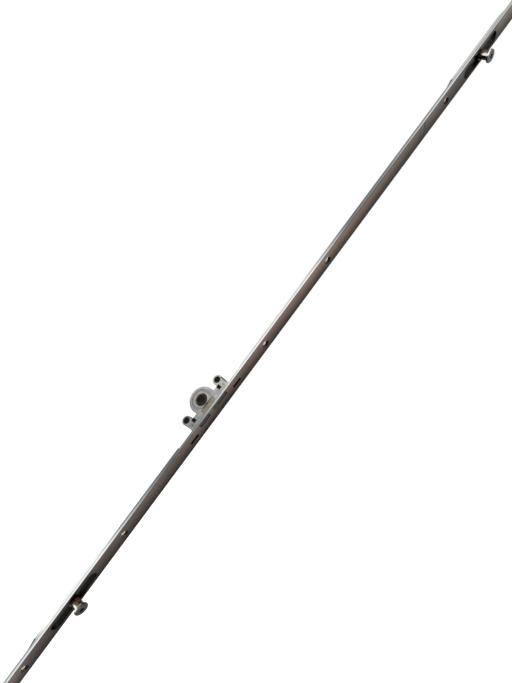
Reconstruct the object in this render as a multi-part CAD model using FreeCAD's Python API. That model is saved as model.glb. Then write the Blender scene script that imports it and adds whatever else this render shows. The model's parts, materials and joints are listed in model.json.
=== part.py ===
import FreeCAD, Part
import math
import os

# A window espagnolette gearbox for tilt and turn or casement windows.
# Origin on the spindle axis, halfway through the casing. +Z runs up the faceplate,
# +X points out of its front, where the cams stand, and the casing lies towards -X.

# Driving dimensions, in millimetres
backset = 15.0
plate_width = 16.0
plate_thickness = 2.4
plate_top = 500.0
plate_bottom = -276.0
plate_edge_bevel = 0.4
plate_corner = 1.0

# Cams along the plate, and the slots that they slide in
cam_places = {"lower": -189.4, "upper": 405.2}
cam_slot_length = 54.0
cam_slot_width = 10.0
slot_edge_bevel = 0.3

# Screw holes along the plate, with a flared sleeve in each
screw_places = (-252.0, -124.4, 70.5, 162.4, 348.6, 480.0)
screw_bore = 4.2
sleeve_wall = 0.6
sleeve_flare = 7.6
sleeve_flare_depth = 1.1
sleeve_flange = 7.6
sleeve_flange_thickness = 0.7

# Drive rods behind the plate
rod_width = 12.0
rod_thickness = 2.1
rod_end_margin = 3.0
rod_corner = 2.0
slide_gap = 0.1
slot_gap = 0.2
stroke_margin = 0.4

# Follower gear
teeth = 14
pitch_radius = 10.2
pressure_angle = 20.0
addendum = 0.75
root_clearance = 0.2
tooth_thinning = 0.08
gear_width = 5.4
hub_radius = 6.2
hub_collar_sink = 0.05
spindle_square = 7.0
running_gap = 0.05
side_gap = 0.12
tooth_round_gap = 0.3
flank_steps = 4

# Rack
rack_width = 5.6
rack_teeth_each_side = 5
tee_width = 11.4
tee_length = 6.6
casing_clearance = 0.8
lap_rivet_spacing = 7.0

# Casing
casing_width = 9.0
arch_radius = 12.2
shoulder_depth = 11.3
boss_width = 11.4
boss_top_radius = 7.1
boss_foot_radius = 7.9
groove_inner_radius = 8.3
groove_outer_radius = 9.6
groove_depth = 0.35
bore_lip_radius = 5.5
bore_lip_depth = 0.9
handle_screw_spacing = 43.0
ear_radius = 4.4
ear_bore = 5.2
ear_waist = 0.7
ear_waist_place = 7.0
ear_waist_sag = 0.28
foot_sag = 0.25
foot_sag_shift = 1.0
foot_flare = 0.3
arch_edge_bevel = 0.9
ear_edge_bevel = 0.6
bore_edge_bevel = 0.25
name_recess_length = 15.7
name_recess_height = 4.7
name_recess_front = 4.4
name_recess_depth = 0.35
ear_slit_length = 2.2
ear_slit_width = 0.8
ear_slit_front = 6.2
ear_slit_depth = 0.8

# Lugs that hold the casing in the plate
lug_place = 11.6
lug_length = 12.0
lug_inner = 3.25
lug_thickness = 3.6
lug_gap = 0.1
lug_recess = 0.35
foot_height = 1.0

# Dowel that lines up the two casing halves
dowel_radius = 1.2
dowel_length = 1.4
dowel_gap = 0.05
dowel_x = 6.4
dowel_inset = 7.9

# Guide shoes in the casing's square windows
shoe_inset = 0.3
shoe_length = 2.7
shoe_height = 3.7
shoe_front = 7.6
shoe_gap = 0.1
shoe_foot_width = 3.0
shoe_rack_gap = 0.15
shoe_recess = 0.15

# Thin slots beside the casing
peg_slot_place = 29.5
peg_slot_length = 9.6
peg_slot_width = 2.4

# Rivets
rivet_radius = 1.4
rivet_head_radius = 2.3
rivet_head_depth = 0.6

# Cam carriers
carrier_length = 98.0
carrier_thickness = 1.3
carrier_bevel = 9.0
carrier_rivet_spacing = 46.0

# Mushroom cams
cam_height = 10.0
cam_head_radius = 6.0
cam_head_thickness = 2.3
cam_head_bevel = 0.5
cam_neck_radius = 3.0
cam_collar_radius = 4.5
cam_collar_gap = 0.3
cam_offset = 0.8
cam_journal_radius = 3.0
cam_tail_radius = 4.2
cam_tail_thickness = 0.8
cam_tail_bevel = 0.5
washer_thickness = 0.5
washer_radius = 4.8
roller_radius = 4.3
roller_gap = 0.1
roller_bevel = 0.3
socket_across = 4.0
socket_depth = 2.6

# How near an edge must lie to a plane to count as on it
on_plane = 0.01

# Places worked out from the sizes above
plate_front = backset
plate_back = plate_front - plate_thickness
rod_front = plate_back - slide_gap
rod_back = rod_front - rod_thickness
carrier_back = rod_back - carrier_thickness
travel = pitch_radius * math.pi / 2
tooth_pitch = 2 * math.pi * pitch_radius / teeth
tip_radius = pitch_radius + addendum
root_radius = pitch_radius - addendum - root_clearance
rack_tips = pitch_radius - addendum
rack_roots = pitch_radius + addendum + root_clearance
ear_place = handle_screw_spacing / 2
shoe_place = ear_place - ear_radius + shoe_inset
dowel_z = ear_place - dowel_inset
half_casing = casing_width / 2
half_boss = boss_width / 2
shoulder = plate_front - shoulder_depth
recess_back = plate_front - name_recess_front - name_recess_height
casing_end = ear_place + ear_radius + foot_flare
tee_start = casing_end + travel + casing_clearance
lap_plane = (rod_front + rod_back) / 2
sleeve_radius = screw_bore / 2 + sleeve_wall
gear_room = tip_radius + tooth_round_gap


def vector(x, y, z):
    return FreeCAD.Vector(x, y, z)


def block(x0, x1, y0, y1, z0, z1):
    low = vector(min(x0, x1), min(y0, y1), min(z0, z1))
    return Part.makeBox(abs(x1 - x0), abs(y1 - y0), abs(z1 - z0), low)


def bar(x0, x1, width, z0, z1):
    """A block centred on the plate's middle line."""
    return block(x0, x1, -width / 2, width / 2, z0, z1)


def pin_x(x0, x1, radius, y=0.0, z=0.0):
    return Part.makeCylinder(radius, abs(x1 - x0), vector(min(x0, x1), y, z), vector(1, 0, 0))


def pin_y(y0, y1, radius, x=0.0, z=0.0):
    return Part.makeCylinder(radius, abs(y1 - y0), vector(x, min(y0, y1), z), vector(0, 1, 0))


def cone_x(x0, x1, radius0, radius1, y=0.0, z=0.0):
    return Part.makeCone(radius0, radius1, x1 - x0, vector(x0, y, z), vector(1, 0, 0))


def cone_y(y0, y1, radius0, radius1):
    direction = vector(0, 1 if y1 > y0 else -1, 0)
    return Part.makeCone(radius0, radius1, abs(y1 - y0), vector(0, y0, 0), direction)


def slot_x(x0, x1, width, length, z):
    """A round-ended slot along the plate, cut from x0 to x1."""
    run = length - width
    middle = bar(x0, x1, width, z - run / 2, z + run / 2)
    ends = [pin_x(x0, x1, width / 2, 0.0, z + side * run / 2) for side in (-1, 1)]
    return middle.fuse(ends).removeSplitter()


def bevelled_slot(place):
    """The bevel round a cam slot's front edge."""
    outer_width = cam_slot_width + 2 * slot_edge_bevel
    outer_length = cam_slot_length + 2 * slot_edge_bevel
    wires = [slot_wire(plate_front - slot_edge_bevel, cam_slot_width, cam_slot_length, place),
             slot_wire(plate_front, outer_width, outer_length, place)]
    return Part.makeLoft(wires, True, True)


def slot_wire(x, width, length, z):
    half = width / 2
    run = (length - width) / 2
    edges = [
        Part.LineSegment(vector(x, half, z - run), vector(x, half, z + run)).toShape(),
        Part.Arc(vector(x, half, z + run), vector(x, 0, z + run + half),
                 vector(x, -half, z + run)).toShape(),
        Part.LineSegment(vector(x, -half, z + run), vector(x, -half, z - run)).toShape(),
        Part.Arc(vector(x, -half, z - run), vector(x, 0, z - run - half),
                 vector(x, half, z - run)).toShape(),
    ]
    return Part.Wire(edges)


def prism_y(points, y0, y1):
    """Extrudes a closed outline of (x, z) points from y0 to y1."""
    corners = [vector(x, y0, z) for x, z in points]
    wire = Part.makePolygon(corners + corners[:1])
    return Part.Face(wire).extrude(vector(0, y1 - y0, 0))


def edges_on(shape, test):
    return [edge for edge in shape.Edges if test(edge.BoundBox)]


def either_side(spacing):
    return (-spacing / 2, spacing / 2)


def countersunk_rivet(x_front, x_back, y, z):
    """A rivet along X with a flush countersunk head at each end."""
    shank = pin_x(x_back, x_front, rivet_radius, y, z)
    front = cone_x(x_front - rivet_head_depth, x_front, rivet_radius, rivet_head_radius, y, z)
    back = cone_x(x_back, x_back + rivet_head_depth, rivet_head_radius, rivet_radius, y, z)
    return shank.fuse([front, back]).removeSplitter()


def lap_rivets():
    solids = []
    for side in (-1, 1):
        for y in either_side(lap_rivet_spacing):
            z = side * (tee_start + tee_length / 2)
            solids.append(countersunk_rivet(rod_front, rod_back, y, z))
    return solids


def carrier_rivets():
    solids = []
    for place in cam_places.values():
        for shift in either_side(carrier_rivet_spacing):
            solids.append(countersunk_rivet(rod_front, carrier_back, 0.0, place + shift))
    return solids


def faceplate():
    plate = bar(plate_back, plate_front, plate_width, plate_bottom, plate_top)
    corners = edges_on(plate, lambda box: box.XLength > plate_thickness / 2)
    plate = plate.makeFillet(plate_corner, corners)
    front = edges_on(plate, lambda box: box.XMin > plate_front - on_plane)
    plate = plate.makeChamfer(plate_edge_bevel, front)
    cuts = []
    for place in cam_places.values():
        cuts.append(slot_x(plate_back, plate_front, cam_slot_width, cam_slot_length, place))
        cuts.append(bevelled_slot(place))
    for side in (-1, 1):
        cuts.append(slot_x(plate_back, plate_front, peg_slot_width, peg_slot_length,
                           side * peg_slot_place))
        for y_side in (-1, 1):
            cuts.append(lug(side, y_side, plate_back, plate_front, lug_gap))
    for z in screw_places:
        cuts.append(pin_x(plate_back, plate_front, sleeve_radius, 0.0, z))
        cuts.append(cone_x(plate_front - sleeve_flare_depth, plate_front,
                           sleeve_radius, sleeve_flare / 2, 0.0, z))
    return plate.cut(cuts)


def lug(side, y_side, x0, x1, gap=0.0):
    """One lug of the casing, or with a gap the window that it sits in."""
    half = lug_length / 2 + gap
    y0 = y_side * (lug_inner - gap)
    y1 = y_side * (lug_inner + lug_thickness + gap)
    return block(x0, x1, y0, y1, side * lug_place - half, side * lug_place + half)


def casing_outline(y0, y1):
    """The side view of the casing: arch, shoulders, two ears and flared feet."""
    arch_meet = math.sqrt(arch_radius ** 2 - shoulder ** 2)
    ear_in = ear_place - ear_radius
    ear_out = ear_place + ear_radius
    edges = []

    def line(x0, z0, x1, z1):
        edges.append(Part.LineSegment(vector(x0, y0, z0), vector(x1, y0, z1)).toShape())

    def arc(x0, z0, x1, z1, x2, z2):
        curve = Part.Arc(vector(x0, y0, z0), vector(x1, y0, z1), vector(x2, y0, z2))
        edges.append(curve.toShape())

    def outer_flank(side):
        """From the foot up to the ear's widest point, with a slight waist."""
        waist = side * (ear_out - ear_waist)
        arc(plate_back, side * casing_end, (plate_back + ear_waist_place) / 2 + foot_sag_shift,
            waist + side * foot_sag, ear_waist_place, waist)
        arc(ear_waist_place, waist, ear_waist_place / 2, waist + side * ear_waist_sag,
            0.0, side * ear_out)

    outer_flank(1)
    arc(0.0, ear_out, -ear_radius, ear_place, 0.0, ear_in)
    line(0.0, ear_in, shoulder, ear_in)
    line(shoulder, ear_in, shoulder, arch_meet)
    arc(shoulder, arch_meet, -arch_radius, 0.0, shoulder, -arch_meet)
    line(shoulder, -arch_meet, shoulder, -ear_in)
    line(shoulder, -ear_in, 0.0, -ear_in)
    arc(0.0, -ear_in, -ear_radius, -ear_place, 0.0, -ear_out)
    outer_flank(-1)
    line(plate_back, -casing_end, plate_back, casing_end)
    wire = Part.Wire(Part.__sortEdges__(edges))
    return Part.Face(wire).extrude(vector(0, y1 - y0, 0))


def rim_bevel(side, radius, size, z, x_limit):
    """What bevels the outer rim of the arch or an ear, as far as x_limit."""
    face = side * half_casing
    inner = face - side * size
    past = radius + size
    ring = pin_y(inner, face, past, 0.0, z)
    kept = cone_y(inner, face, radius, radius - size)
    kept.translate(vector(0, 0, z))
    return ring.cut(kept).common(block(-2 * past, x_limit, face, inner, z - 2 * past, z + 2 * past))


def shoe_window(side, gap=0.0):
    """The square block of a guide shoe, or with a gap its window."""
    half = shoe_length / 2 + gap
    z = side * shoe_place
    depth = half_casing - (0.0 if gap else shoe_recess)
    return block(shoe_front - shoe_height - gap, shoe_front + gap, -depth, depth,
                 z - half, z + half)


def shoe_foot(side, gap=0.0):
    """The shoe's foot, which reaches down to the rack's tips."""
    half = shoe_length / 2 + gap
    z = side * shoe_place
    width = shoe_foot_width + 2 * gap
    end = rack_tips if gap else rack_tips - shoe_rack_gap
    return bar(shoe_front, end, width, z - half, z + half)


def casing_half(side):
    """side is -1 for the half that faces the handle and 1 for the far half."""
    face = side * half_casing
    body = casing_outline(0.0, face)
    bevels = [rim_bevel(side, arch_radius, arch_edge_bevel, 0.0, shoulder)]
    for z_side in (-1, 1):
        bevels.append(rim_bevel(side, ear_radius, ear_edge_bevel, z_side * ear_place, 0.0))
    body = body.cut(bevels)
    boss = cone_y(face, side * half_boss, boss_foot_radius, boss_top_radius)
    boss = boss.cut(block(recess_back, boss_foot_radius, face, side * half_boss,
                          -boss_foot_radius, boss_foot_radius))
    feet = [lug(z_side, side, plate_back - foot_height, plate_front - lug_recess)
            for z_side in (-1, 1)]
    body = body.fuse([boss] + feet).removeSplitter()
    body = body.cut(casing_cuts(side))
    if side < 0:
        body = body.fuse([dowel(z_side, 0.0) for z_side in (-1, 1)])
    else:
        body = body.cut([dowel(z_side, dowel_gap) for z_side in (-1, 1)])
    return body.removeSplitter()


def dowel(z_side, gap):
    return pin_y(0.0, dowel_length + gap, dowel_radius + gap, dowel_x, z_side * dowel_z)


def casing_cuts(side):
    """What is cut from one half: gear room, rack channel, bores, windows and recesses."""
    face = side * half_casing
    groove = pin_y(face - side * groove_depth, face, groove_outer_radius).cut(
        pin_y(face - side * groove_depth, face, groove_inner_radius))
    groove = groove.common(block(-groove_outer_radius, shoulder, 0.0, face,
                                 -groove_outer_radius, groove_outer_radius))
    journal_end = side * (half_boss - bore_lip_depth)
    cuts = [
        pin_y(0.0, side * (gear_width / 2 + side_gap), gear_room),
        pin_y(0.0, journal_end, hub_radius + running_gap),
        pin_y(0.0, side * half_boss, bore_lip_radius),
        cone_y(side * (half_boss - bore_edge_bevel), side * half_boss,
               bore_lip_radius, bore_lip_radius + bore_edge_bevel),
        bar(rack_tips - slot_gap, plate_back, rack_width + 2 * side_gap, -casing_end, casing_end),
        groove,
        block(recess_back, recess_back + name_recess_height, face, face - side * name_recess_depth,
              -name_recess_length / 2, name_recess_length / 2),
    ]
    for z_side in (-1, 1):
        z = z_side * ear_place
        cuts.append(pin_y(0.0, face, ear_bore / 2, 0.0, z))
        cuts.append(shoe_window(z_side, shoe_gap))
        cuts.append(shoe_foot(z_side, shoe_gap))
        cuts.append(block(plate_front - ear_slit_front, plate_front - ear_slit_front - ear_slit_length,
                          face, face - side * ear_slit_depth,
                          z - ear_slit_width / 2, z + ear_slit_width / 2))
    return cuts


def guide_shoe(side):
    return shoe_window(side).fuse(shoe_foot(side)).removeSplitter()


def involute_point(radius, start_angle, side):
    """A point of the tooth's flank at this radius, with side -1 or 1."""
    base = pitch_radius * math.cos(math.radians(pressure_angle))
    roll = math.sqrt(max(radius ** 2 / base ** 2 - 1, 0.0))
    turn = start_angle + side * (roll - math.atan(roll))
    return radius * math.cos(turn), radius * math.sin(turn)


def tooth_space(index):
    """The gap between two teeth, from below the root to above the tips."""
    base = pitch_radius * math.cos(math.radians(pressure_angle))
    inverse = math.tan(math.radians(pressure_angle)) - math.radians(pressure_angle)
    half_space = math.pi / teeth / 2 + tooth_thinning / pitch_radius / 2
    middle = 2 * math.pi * index / teeth
    reach = tip_radius + tooth_round_gap - base
    radii = [base + reach * step / flank_steps for step in range(flank_steps + 1)]
    flanks = []
    for side in (-1, 1):
        start = middle + side * (half_space - inverse)
        flanks.append([involute_point(radius, start, side) for radius in radii])
    floor = []
    for side in (-1, 1):
        start = middle + side * (half_space - inverse)
        floor.append((root_radius * math.cos(start), root_radius * math.sin(start)))
    points = flanks[0][::-1] + [floor[0], floor[1]] + flanks[1]
    return prism_y(points, -gear_width / 2, gear_width / 2)


def drive_gear():
    """The toothed wheel, its hub, and a collar at each end that fills the casing's lip."""
    wheel = pin_y(-gear_width / 2, gear_width / 2, tip_radius)
    wheel = wheel.cut([tooth_space(index) for index in range(teeth)])
    hub_end = half_boss - bore_lip_depth - side_gap
    hub = pin_y(-hub_end, hub_end, hub_radius)
    collar_end = half_boss - hub_collar_sink
    collars = pin_y(-collar_end, collar_end, bore_lip_radius - running_gap)
    half = spindle_square / 2
    square = block(-half, half, -half_boss, half_boss, -half, half)
    return wheel.fuse([hub, collars]).removeSplitter().cut(square)


def rack_tooth(z):
    """One straight-flanked rack tooth that points at the gear."""
    slope = math.tan(math.radians(pressure_angle))
    half_pitch_line = tooth_pitch / 4 - tooth_thinning / 2
    tip = half_pitch_line - addendum * slope
    root = half_pitch_line + (rack_roots - pitch_radius) * slope
    points = [(rack_tips, z - tip), (rack_tips, z + tip), (rack_roots, z + root), (rack_roots, z - root)]
    return prism_y(points, -rack_width / 2, rack_width / 2)


def rack():
    """The toothed bar, its plain tails and the T-shaped end at each rod."""
    toothed = (rack_teeth_each_side + 0.5) * tooth_pitch
    web = bar(rack_roots, rod_front, rack_width, -tee_start, tee_start)
    pieces = [rack_tooth(index * tooth_pitch)
              for index in range(-rack_teeth_each_side, rack_teeth_each_side + 1)]
    holes = []
    for side in (-1, 1):
        pieces.append(bar(rack_tips, rod_front, rack_width, side * toothed, side * tee_start))
        tee_end = side * (tee_start + tee_length)
        pieces.append(bar(lap_plane, rod_front, tee_width, side * tee_start, tee_end))
    body = web.fuse(pieces).removeSplitter()
    return body.cut(lap_rivets())


def drive_rod(side, end):
    """A rod from the rack's end to just short of the plate's end."""
    start = side * tee_start
    rod = bar(rod_back, rod_front, rod_width, start, end - side * rod_end_margin)
    corners = edges_on(rod, lambda box: box.XLength > rod_thickness / 2
                       and abs(box.ZMin) > abs(end) - 2 * rod_end_margin)
    rod = rod.makeFillet(rod_corner, corners)
    lap = bar(lap_plane, rod_front, rod_width, start, start + side * (tee_length + slot_gap))
    cuts = [lap] + lap_rivets() + carrier_rivets() + cam_journals() + sleeve_slots(
        rod_back, rod_front, 2 * sleeve_radius)
    return rod.cut(cuts)


def sleeve_slots(x0, x1, diameter):
    """Room for every sleeve over the whole stroke."""
    width = diameter + 2 * slot_gap
    length = 2 * travel + diameter + 2 * stroke_margin
    return [slot_x(x0, x1, width, length, z) for z in screw_places]


def cam_journals():
    """The bores that the studs turn in."""
    return [pin_x(carrier_back, rod_front, cam_journal_radius + running_gap, 0.0, z)
            for z in cam_places.values()]


def carrier(place):
    """A plate with long bevelled ends, riveted behind the rod at a cam."""
    half = carrier_length / 2
    points = [(rod_back, place - half), (carrier_back, place - half + carrier_bevel),
              (carrier_back, place + half - carrier_bevel), (rod_back, place + half)]
    plate = prism_y(points, -rod_width / 2, rod_width / 2)
    cuts = carrier_rivets() + cam_journals() + sleeve_slots(
        carrier_back, rod_back, sleeve_flange)
    return plate.cut(cuts)


def screw_sleeve(z):
    """A flared tube that guides the rod and takes a countersunk screw."""
    flange_front = rod_back - slide_gap
    tube = pin_x(flange_front - sleeve_flange_thickness, plate_front, sleeve_radius, 0.0, z)
    flange = pin_x(flange_front - sleeve_flange_thickness, flange_front, sleeve_flange / 2, 0.0, z)
    flare = cone_x(plate_front - sleeve_flare_depth, plate_front, sleeve_radius, sleeve_flare / 2, 0.0, z)
    bore = pin_x(flange_front - sleeve_flange_thickness, plate_front, screw_bore / 2, 0.0, z)
    mouth = cone_x(plate_front - sleeve_flare_depth, plate_front, screw_bore / 2,
                   sleeve_flare / 2 - sleeve_wall / 2, 0.0, z)
    return tube.fuse([flange, flare]).removeSplitter().cut([bore, mouth])


def cam_stud(place):
    """Journal, collar, eccentric neck and mushroom head with a hexagon socket."""
    top = plate_front + cam_height
    head_foot = top - cam_head_thickness
    collar_top = plate_front + cam_collar_gap
    axis = place + cam_offset
    tail_front = carrier_back - washer_thickness
    journal = pin_x(tail_front - cam_tail_thickness, rod_front, cam_journal_radius, 0.0, place)
    tail = cone_x(tail_front - cam_tail_thickness, tail_front, cam_tail_radius - cam_tail_bevel,
                  cam_tail_radius, 0.0, place)
    collar = pin_x(rod_front, collar_top, cam_collar_radius, 0.0, place)
    neck = pin_x(collar_top, head_foot, cam_neck_radius, 0.0, axis)
    small = cam_head_radius - cam_head_bevel
    head = pin_x(head_foot + cam_head_bevel, top - cam_head_bevel, cam_head_radius, 0.0, axis)
    under = cone_x(head_foot, head_foot + cam_head_bevel, small, cam_head_radius, 0.0, axis)
    crown = cone_x(top - cam_head_bevel, top, cam_head_radius, small, 0.0, axis)
    stud = journal.fuse([tail, collar, neck, under, head, crown]).removeSplitter()
    return stud.cut(hex_socket(top, axis))


def hex_socket(top, axis):
    corner = socket_across / math.sqrt(3)
    points = []
    for step in range(6):
        angle = math.pi / 3 * step
        points.append(vector(top - socket_depth, corner * math.cos(angle), axis + corner * math.sin(angle)))
    wire = Part.makePolygon(points + points[:1])
    return Part.Face(wire).extrude(vector(socket_depth, 0, 0))


def cam_roller(place):
    start = plate_front + cam_collar_gap + roller_gap
    end = plate_front + cam_height - cam_head_thickness - roller_gap
    axis = place + cam_offset
    sleeve = pin_x(start, end, roller_radius, 0.0, axis)
    rims = edges_on(sleeve, lambda box: box.YLength > roller_radius and box.XLength < on_plane)
    sleeve = sleeve.makeChamfer(roller_bevel, rims)
    return sleeve.cut(pin_x(start, end, cam_neck_radius + running_gap, 0.0, axis))


def cam_washer(place):
    ring = pin_x(carrier_back - washer_thickness, carrier_back, washer_radius, 0.0, place)
    return ring.cut(pin_x(carrier_back - washer_thickness, carrier_back,
                          cam_journal_radius + running_gap, 0.0, place))


def build():
    """Every node of the part, by name."""
    parts = {
        "faceplate": faceplate(),
        "casing_front": casing_half(-1),
        "casing_back": casing_half(1),
        "guide_shoe_upper": guide_shoe(1),
        "guide_shoe_lower": guide_shoe(-1),
        "drive_gear": drive_gear(),
        "rack": rack(),
        "rod_upper": drive_rod(1, plate_top),
        "rod_lower": drive_rod(-1, plate_bottom),
        "rack_rivets": Part.makeCompound(lap_rivets()),
        "carrier_rivets": Part.makeCompound(carrier_rivets()),
        "screw_sleeves": Part.makeCompound([screw_sleeve(z) for z in screw_places]),
    }
    for name, place in cam_places.items():
        parts["carrier_" + name] = carrier(place)
        parts["cam_stud_" + name] = cam_stud(place)
        parts["cam_roller_" + name] = cam_roller(place)
        parts["cam_washer_" + name] = cam_washer(place)
    return parts


def main():
    os.makedirs("parts", exist_ok=True)
    for name, shape in build().items():
        print(name, "valid", shape.isValid(), "solids", len(shape.Solids),
              "volume", round(shape.Volume, 2))
        shape.exportStep("parts/" + name + ".step")
    print("travel each way", round(travel, 3))


main()
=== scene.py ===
# %% [markdown]
# # Dressing a window espagnolette
# This part is a long steel faceplate with a small die-cast gearbox behind it. The handle's
# square spindle turns a toothed follower, which drives two flat rods along the faceplate, and
# the rods carry mushroom-headed cams that hook behind strikers on the window frame.
# The solids arrive finished and at their real size, so this lesson gives them their metals,
# adds the small marks that the workshop leaves on them, and sets up a soft studio.

# %% Load the frame
import math

import bpy
from mathutils import Matrix, Vector
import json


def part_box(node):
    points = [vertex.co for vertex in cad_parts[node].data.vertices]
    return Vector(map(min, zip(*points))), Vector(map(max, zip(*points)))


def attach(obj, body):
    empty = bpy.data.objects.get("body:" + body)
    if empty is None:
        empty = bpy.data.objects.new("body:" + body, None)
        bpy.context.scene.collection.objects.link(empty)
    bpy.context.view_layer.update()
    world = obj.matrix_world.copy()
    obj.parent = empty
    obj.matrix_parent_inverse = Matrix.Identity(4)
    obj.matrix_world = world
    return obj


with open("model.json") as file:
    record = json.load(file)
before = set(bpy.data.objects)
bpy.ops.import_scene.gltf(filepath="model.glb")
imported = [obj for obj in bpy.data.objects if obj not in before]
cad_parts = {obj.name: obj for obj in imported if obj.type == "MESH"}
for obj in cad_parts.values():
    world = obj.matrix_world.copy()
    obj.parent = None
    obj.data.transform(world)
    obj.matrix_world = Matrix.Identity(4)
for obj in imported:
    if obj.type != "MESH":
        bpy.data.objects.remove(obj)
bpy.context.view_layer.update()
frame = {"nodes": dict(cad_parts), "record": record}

# %% [markdown]
# ## Places read from the frame
# Every added detail sits on a solid, so its place is worked out from that solid's own box or
# from a mount, and is never typed in twice. A box gives a node's lowest and highest corners,
# in metres.

# %% Places of the main pieces
MM = 0.001
plate_low, plate_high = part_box("faceplate")
casing_low, casing_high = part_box("casing_front")
plate_front = plate_high[0]
plate_back = plate_low[0]
plate_side = plate_high[1]
arch_radius = -casing_low[0]
print("plate from", round(plate_low[2], 4), "to", round(plate_high[2], 4), "m")

mounts = {mount["name"]: mount for mount in frame["record"]["mounts"]}
ear_place = mounts["handle_screws"]["dims"]["spacing_y_mm"] / 2 * MM
ear_bore = mounts["handle_screws"]["dims"]["hole_r_mm"] * MM
print("arch radius", round(arch_radius / MM, 2), "mm, ears", round(ear_place / MM, 2), "mm out")

sleeve_places = [mount["pos_m"][2] for name, mount in mounts.items()
                 if name.startswith("plate_screw")]
print("screw sleeves at", [round(place / MM, 1) for place in sleeve_places])

cam_place = {}
for name in ("upper", "lower"):
    stud_low, stud_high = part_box("cam_stud_" + name)
    cam_place[name] = (stud_low[2] + stud_high[2]) / 2
print("cams at", {name: round(place / MM, 1) for name, place in cam_place.items()})

# %% [markdown]
# ## A small kit for shaders
# Real metal is never one flat colour. Each finish starts from a Principled shader whose
# constants sit directly on its sockets. A node could be added and linked line by line each
# time, but these few helpers say the same in one line, so that a finish reads like a recipe.

# %% Helpers that build shader nodes
def new_finish(name, colour, metallic, roughness):
    material = bpy.data.materials.new(name)
    material.use_nodes = True
    tree = material.node_tree
    surface = tree.nodes["Principled BSDF"]
    surface.inputs["Base Color"].default_value = (*colour, 1.0)
    surface.inputs["Metallic"].default_value = metallic
    surface.inputs["Roughness"].default_value = roughness
    return material, tree, surface


def connect(tree, value, socket):
    """Links a socket, or sets a plain value or colour."""
    if isinstance(value, bpy.types.NodeSocket):
        tree.links.new(value, socket)
    elif isinstance(value, tuple) and len(socket.default_value) == 4:
        socket.default_value = (*value, 1.0)
    else:
        socket.default_value = value


def add(tree, kind, inputs):
    node = tree.nodes.new(kind)
    for name, value in inputs.items():
        connect(tree, value, node.inputs[name])
    return node


def maths(tree, operation, first, second=0.0):
    node = tree.nodes.new("ShaderNodeMath")
    node.operation = operation
    connect(tree, first, node.inputs[0])
    connect(tree, second, node.inputs[1])
    return node.outputs[0]


def vector_maths(tree, operation, first, second=(0.0, 0.0, 0.0)):
    node = tree.nodes.new("ShaderNodeVectorMath")
    node.operation = operation
    connect(tree, first, node.inputs[0])
    connect(tree, second, node.inputs[1])
    return node.outputs["Value" if operation in ("DOT_PRODUCT", "LENGTH") else "Vector"]


print("node helpers ready")

# %% [markdown]
# ## Colours and patterns
# Patterns come from noise that reads Object coordinates, so they follow the piece when it
# moves. Noise that is squeezed along one axis draws out into the streaks that rolling and
# brushing leave. A picture could hold the same marks, but noise needs no file and stays sharp
# when the camera comes close.

# %% Helpers for colours and patterns
X_AXIS, Y_AXIS, Z_AXIS = 0, 1, 2
# A Mix node has sockets for numbers, vectors and colours, and these are the colours' numbers.
MIX_FACTOR, MIX_FIRST, MIX_SECOND, MIX_COLOUR = 0, 6, 7, 2


def fade(tree, value, start, end, first=0.0, last=1.0):
    """Goes evenly from first to last while the value goes from start to end."""
    node = add(tree, "ShaderNodeMapRange", {"Value": value, "From Min": start, "From Max": end,
                                            "To Min": first, "To Max": last})
    return node.outputs["Result"]


def mix(tree, factor, first, second, blend="MIX"):
    node = tree.nodes.new("ShaderNodeMix")
    node.data_type = "RGBA"
    node.blend_type = blend
    for index, value in ((MIX_FACTOR, factor), (MIX_FIRST, first), (MIX_SECOND, second)):
        connect(tree, value, node.inputs[index])
    return node.outputs[MIX_COLOUR]


def tint(tree, colour, tone):
    """Multiplies a colour by a tone."""
    return mix(tree, 1.0, colour, tone, "MULTIPLY")


def ramp(tree, factor, stops):
    """Maps a factor through stops, each a position and a colour."""
    node = tree.nodes.new("ShaderNodeValToRGB")
    points = node.color_ramp.elements
    while len(points) < len(stops):
        points.new(0.5)
    for point, (position, colour) in zip(points, stops):
        point.position = position
        point.color = (*colour, 1.0)
    connect(tree, factor, node.inputs["Fac"])
    return node.outputs["Color"]


def grey(value):
    return (value, value, value)


def piece_coordinate(tree, output="Object"):
    return tree.nodes.new("ShaderNodeTexCoord").outputs[output]


def axis_of(tree, output, axis):
    return add(tree, "ShaderNodeSeparateXYZ", {0: piece_coordinate(tree, output)}).outputs[axis]


def noise(tree, scale, stretch=(1.0, 1.0, 1.0), detail=4.0):
    mapping = add(tree, "ShaderNodeMapping", {"Vector": piece_coordinate(tree), "Scale": stretch})
    texture = add(tree, "ShaderNodeTexNoise", {"Vector": mapping.outputs[0], "Scale": scale,
                                               "Detail": detail})
    return texture.outputs["Fac"]


def bump(tree, surface, height, strength, depth):
    node = add(tree, "ShaderNodeBump", {"Height": height, "Strength": strength, "Distance": depth})
    connect(tree, node.outputs["Normal"], surface.inputs["Normal"])


def dress(material, *nodes):
    """Gives CAD nodes their finish."""
    for name in nodes:
        mesh = frame["nodes"][name].data
        mesh.materials.clear()
        mesh.materials.append(material)


print("colour helpers ready")

# %% [markdown]
# ## Masks that know where they are
# A wall inside a bore is dark with oil while the face beside it is bright. The same mesh has
# both, so masks pick the walls out by position: how far a point lies from a bore's axis, or
# whether it lies within a band. A band is given by its low end, its high end and the width
# over which it fades. Faces could be given separate materials instead, but a solid's mesh stays
# untouched this way, and a mask can also end softly.

# %% Masks by position
def between(tree, value, low, high, soft):
    """Is 1 where a value lies between low and high, and fades out over soft."""
    rise = fade(tree, value, low - soft, low + soft)
    fall = fade(tree, value, high + soft, high - soft)
    return maths(tree, "MULTIPLY", rise, fall)


def inside_band(tree, axis, low, high, soft):
    """Is 1 between low and high along an axis of the piece."""
    return between(tree, axis_of(tree, "Object", axis), low, high, soft)


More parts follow.
